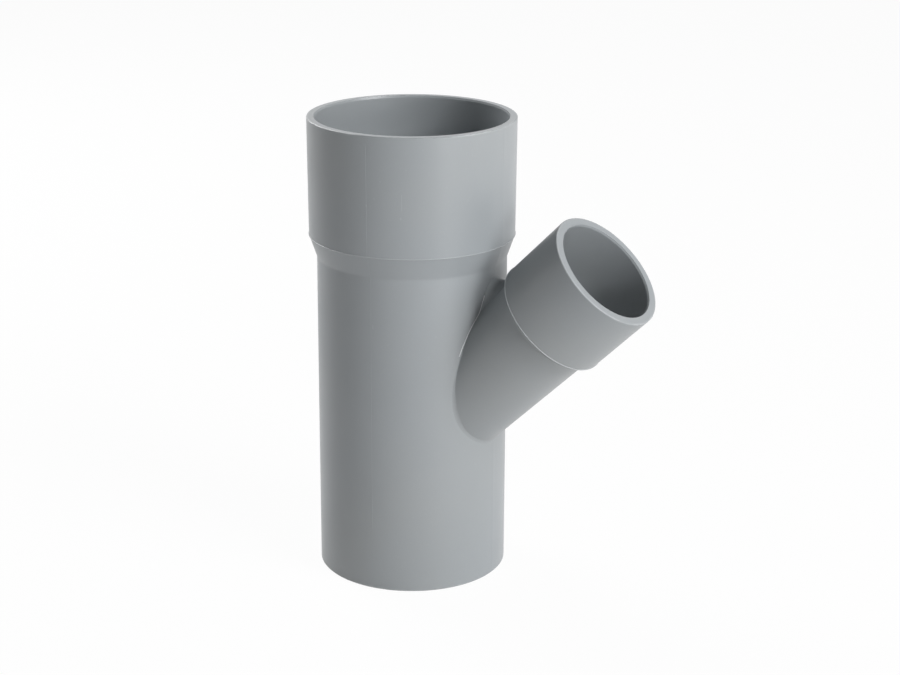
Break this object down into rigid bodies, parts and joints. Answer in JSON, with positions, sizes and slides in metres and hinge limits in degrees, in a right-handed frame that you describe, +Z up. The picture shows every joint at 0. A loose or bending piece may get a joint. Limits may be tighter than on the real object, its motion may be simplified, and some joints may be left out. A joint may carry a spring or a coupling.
{
  "type": "lateral wye fitting",
  "caption": "Lateral wye for solvent-welded waste pipe: a straight run with a spigot below and a socket above, and a smaller socketed branch leaving at 45 degrees.",
  "frame": {"origin": "centre of the spigot's end face, on the run's axis", "axes": "+Z up the run's axis towards the run socket, +X the side to which the branch leans"},
  "size_m": [0.1712, 0.0976, 0.2204],
  "materials": {
    "wye_fitting": "satin grey moulded PVC"
  },
  "bodies": {
    "root": {"wye_fitting": "wye_fitting"}
  },
  "joints": []
}
